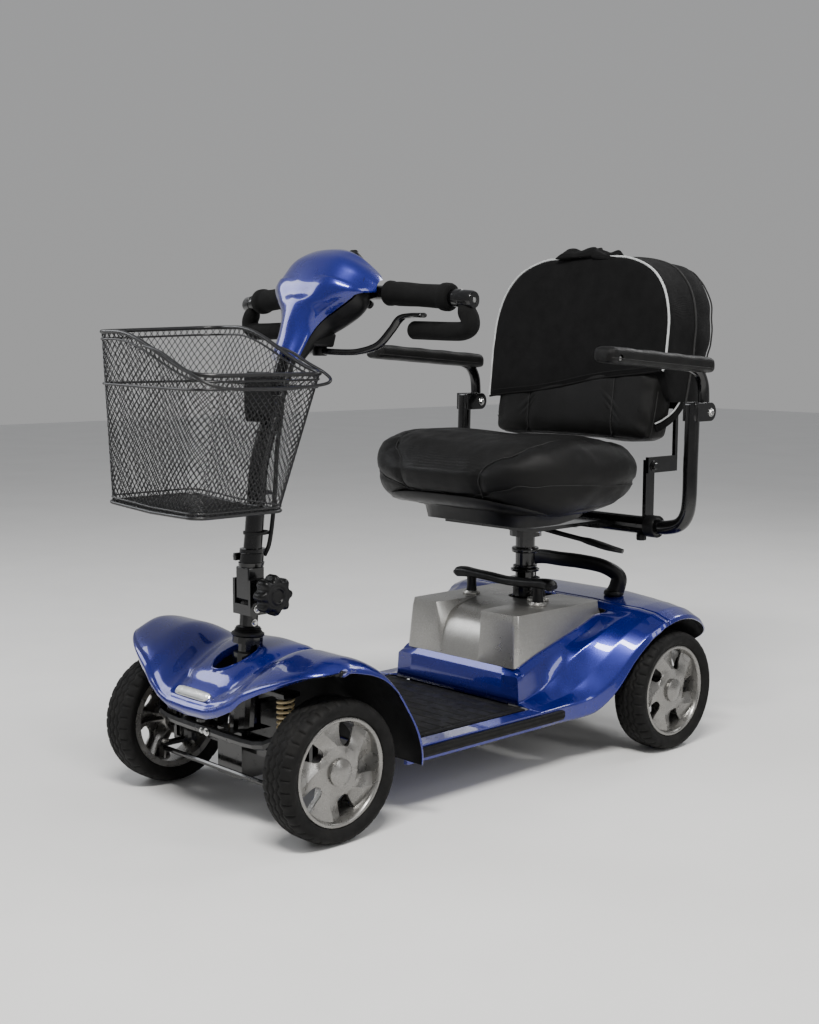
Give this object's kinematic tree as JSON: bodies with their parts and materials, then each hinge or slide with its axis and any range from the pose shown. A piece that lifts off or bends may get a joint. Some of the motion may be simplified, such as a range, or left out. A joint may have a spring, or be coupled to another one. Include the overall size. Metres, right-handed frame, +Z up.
{
  "type": "mobility scooter",
  "caption": "Compact mobility scooter with small wheels, front basket on a folding tiller, swivel seat with bag and flip-up armrests, and a lift-out battery box.",
  "frame": {"origin": "on the floor under the centre of the bounding box", "axes": "+Z up, the scooter faces -Y, its left side is +X"},
  "size_m": [0.585, 1.1046, 0.8584],
  "materials": {
    "blue_body": "blue metallic lacquer over moulded shell",
    "silver_cover": "silver metallic moulding",
    "wheel_silver": "satin silver",
    "tyre": "matt black tread",
    "spring_cream": "cream powder coat",
    "black_rubber": "ribbed matt rubber",
    "foam": "matt closed-cell foam",
    "black_leather": "fine grained black upholstery",
    "bag_cloth": "black woven nylon",
    "lens": "clear lens",
    "orange_plastic": "orange",
    "black_plastic": "fine textured black plastic",
    "black_paint": "gloss black powder coat"
  },
  "bodies": {
    "chassis": {"main_frame": "black_paint", "front_cowl": "blue_body", "headlamp_lens": "lens", "deck_pan": "blue_body", "deck_mat": "black_rubber", "side_strip_L": "black_rubber", "side_strip_R": "black_rubber", "rear_shroud": "blue_body", "rear_cover": "blue_body", "transaxle": "black_paint", "seat_sleeve": "black_paint", "rear_handle": "black_plastic", "front_spring_L": "spring_cream", "front_spring_R": "spring_cream"},
    "brake_lever": {"brake_release_lever": "orange_plastic"},
    "battery_box": {"battery_cover": "silver_cover", "battery_pack": "black_plastic", "battery_handle": "black_plastic"},
    "seat_column": {"seat_post": "black_paint"},
    "seat": {"seat_frame": "black_paint", "seat_cushion": "black_leather"},
    "swivel_lever": {"seat_lever": "black_plastic"},
    "backrest": {"back_cushion": "black_leather", "back_bag": "bag_cloth", "back_frame": "black_paint"},
    "steering": {"steer_post": "black_paint"},
    "tie_bar": {"tie_rod": "black_paint"},
    "clamp_knob": {"star_knob": "black_plastic"},
    "tiller": {"tiller_tube": "black_paint", "head_cover": "blue_body", "head_base": "black_plastic", "handlebar": "black_paint", "grip_L": "foam", "grip_R": "foam", "guard_loop_L": "foam", "guard_loop_R": "foam"},
    "throttle": {"throttle_lever": "black_plastic"},
    "key": {"ignition_key": "black_plastic"},
    "dial": {"speed_dial": "black_plastic"},
    "horn": {"horn_button": "black_plastic"},
    "basket": {"basket": "black_paint"},
    "bail": {"basket_handle": "black_paint"},
    "arm_slide_L": {"arm_tube_L": "black_paint"},
    "arm_flip_L": {"arm_upper_L": "black_paint", "arm_pad_L": "black_leather"},
    "suspension_L": {"front_arm_L": "black_paint"},
    "knuckle_L": {"kingpin_L": "black_paint"},
    "wheel_front_L": {"tyre_front_L": "tyre", "rim_front_L": "wheel_silver"},
    "wheel_rear_L": {"tyre_rear_L": "tyre", "rim_rear_L": "wheel_silver"},
    "arm_slide_R": {"arm_tube_R": "black_paint"},
    "arm_flip_R": {"arm_upper_R": "black_paint", "arm_pad_R": "black_leather"},
    "suspension_R": {"front_arm_R": "black_paint"},
    "knuckle_R": {"kingpin_R": "black_paint"},
    "wheel_front_R": {"tyre_front_R": "tyre", "rim_front_R": "wheel_silver"},
    "wheel_rear_R": {"tyre_rear_R": "tyre", "rim_rear_R": "wheel_silver"}
  },
  "joints": [
    {"name": "steer", "type": "hinge", "parent": "chassis", "child": "steering", "pos_m": [0, -0.3764, 0.25], "axis": [0, 0.0785, 0.9969], "range_deg": [-30, 30]},
    {"name": "tiller_fold", "type": "hinge", "parent": "steering", "child": "tiller", "pos_m": [0, -0.3699, 0.333], "axis": [-1, 0, 0], "range_deg": [-8, 15]},
    {"name": "clamp_knob_turn", "type": "hinge", "parent": "steering", "child": "clamp_knob", "pos_m": [0, -0.3699, 0.333], "axis": [1, 0, 0], "range_deg": [0, 360]},
    {"name": "tie_rod_slide", "type": "slide", "parent": "chassis", "child": "tie_bar", "axis": [1, 0, 0], "range_m": [-0.025, 0.025]},
    {"name": "throttle_swing", "type": "hinge", "parent": "tiller", "child": "throttle", "pos_m": [0, -0.2319, 0.69], "axis": [0, 0, 1], "range_deg": [-8, 8], "stiffness_Nm_per_rad": 0.6},
    {"name": "key_turn", "type": "hinge", "parent": "tiller", "child": "key", "pos_m": [0, -0.17199, 0.82812], "axis": [0, 0.5151, 0.8571], "range_deg": [0, 90]},
    {"name": "speed_dial_turn", "type": "hinge", "parent": "tiller", "child": "dial", "pos_m": [0, -0.16345, 0.76757], "axis": [0, 0.8571, -0.5151], "range_deg": [-135, 135]},
    {"name": "horn_press", "type": "slide", "parent": "tiller", "child": "horn", "axis": [0, -0.8571, 0.5151], "range_m": [0, 0.0015], "stiffness_N_per_m": 250, "springref_m": -0.001},
    {"name": "basket_lift", "type": "slide", "parent": "tiller", "child": "basket", "axis": [0, 0, 1], "range_m": [0, 0.08]},
    {"name": "basket_handle_swing", "type": "hinge", "parent": "basket", "child": "bail", "pos_m": [0, -0.4354, 0.6985], "axis": [0, -1, 0], "range_deg": [0, 110]},
    {"name": "seat_height", "type": "slide", "parent": "chassis", "child": "seat_column", "axis": [0, 0, 1], "range_m": [0, 0.05]},
    {"name": "seat_swivel", "type": "hinge", "parent": "seat_column", "child": "seat", "pos_m": [0, 0.2486, 0.37], "axis": [0, 0, 1], "range_deg": [-90, 90]},
    {"name": "swivel_lever_pull", "type": "hinge", "parent": "seat", "child": "swivel_lever", "pos_m": [0.03, 0.2546, 0.376], "axis": [0.336, -0.9419, 0], "range_deg": [0, 12], "stiffness_Nm_per_rad": 0.6, "springref_deg": -17.19},
    {"name": "backrest_fold", "type": "hinge", "parent": "seat", "child": "backrest", "pos_m": [0, 0.3716, 0.49], "axis": [1, 0, 0], "range_deg": [0, 43]},
    {"name": "brake_release", "type": "hinge", "parent": "chassis", "child": "brake_lever", "pos_m": [-0.13, 0.3946, 0.115], "axis": [0, 0, 1], "range_deg": [0, 25]},
    {"name": "battery_lift", "type": "slide", "parent": "chassis", "child": "battery_box", "axis": [0, 0, 1], "range_m": [0, 0.05]},
    {"name": "armrest_width_L", "type": "slide", "parent": "seat", "child": "arm_slide_L", "axis": [1, 0, 0], "range_m": [0, 0.04]},
    {"name": "armrest_flip_L", "type": "hinge", "parent": "arm_slide_L", "child": "arm_flip_L", "pos_m": [0.27, 0.3981, 0.587], "axis": [-1, 0, 0], "range_deg": [0, 88]},
    {"name": "suspension_L", "type": "hinge", "parent": "chassis", "child": "suspension_L", "pos_m": [0.035, -0.3834, 0.105], "axis": [0, -1, 0], "range_deg": [0, 4], "stiffness_Nm_per_rad": 160, "springref_deg": -22.92, "deforming": ["front_spring_L"]},
    {"name": "kingpin_turn_L", "type": "hinge", "parent": "suspension_L", "child": "knuckle_L", "pos_m": [0.148, -0.3834, 0.104], "axis": [0, 0, 1], "range_deg": [-30, 30]},
    {"name": "front_wheel_spin_L", "type": "hinge", "parent": "knuckle_L", "child": "wheel_front_L", "pos_m": [0.2005, -0.3834, 0.104], "axis": [1, 0, 0], "continuous": true},
    {"name": "rear_wheel_spin_L", "type": "hinge", "parent": "chassis", "child": "wheel_rear_L", "pos_m": [0.234, 0.3526, 0.104], "axis": [1, 0, 0], "continuous": true},
    {"name": "armrest_width_R", "type": "slide", "parent": "seat", "child": "arm_slide_R", "axis": [-1, 0, 0], "range_m": [0, 0.04]},
    {"name": "armrest_flip_R", "type": "hinge", "parent": "arm_slide_R", "child": "arm_flip_R", "pos_m": [-0.27, 0.3981, 0.587], "axis": [-1, 0, 0], "range_deg": [0, 88]},
    {"name": "suspension_R", "type": "hinge", "parent": "chassis", "child": "suspension_R", "pos_m": [-0.035, -0.3834, 0.105], "axis": [0, 1, 0], "range_deg": [0, 4], "stiffness_Nm_per_rad": 160, "springref_deg": -22.92, "deforming": ["front_spring_R"]},
    {"name": "kingpin_turn_R", "type": "hinge", "parent": "suspension_R", "child": "knuckle_R", "pos_m": [-0.148, -0.3834, 0.104], "axis": [0, 0, 1], "range_deg": [-30, 30]},
    {"name": "front_wheel_spin_R", "type": "hinge", "parent": "knuckle_R", "child": "wheel_front_R", "pos_m": [-0.2005, -0.3834, 0.104], "axis": [1, 0, 0], "continuous": true},
    {"name": "rear_wheel_spin_R", "type": "hinge", "parent": "chassis", "child": "wheel_rear_R", "pos_m": [-0.234, 0.3526, 0.104], "axis": [1, 0, 0], "continuous": true}
  ],
  "couplings": [
    {"joint": "kingpin_turn_L", "follows": "steer", "ratio": 1},
    {"joint": "kingpin_turn_R", "follows": "steer", "ratio": 1},
    {"joint": "tie_rod_slide", "follows": "steer", "m_per_rad": 0.045}
  ]
}
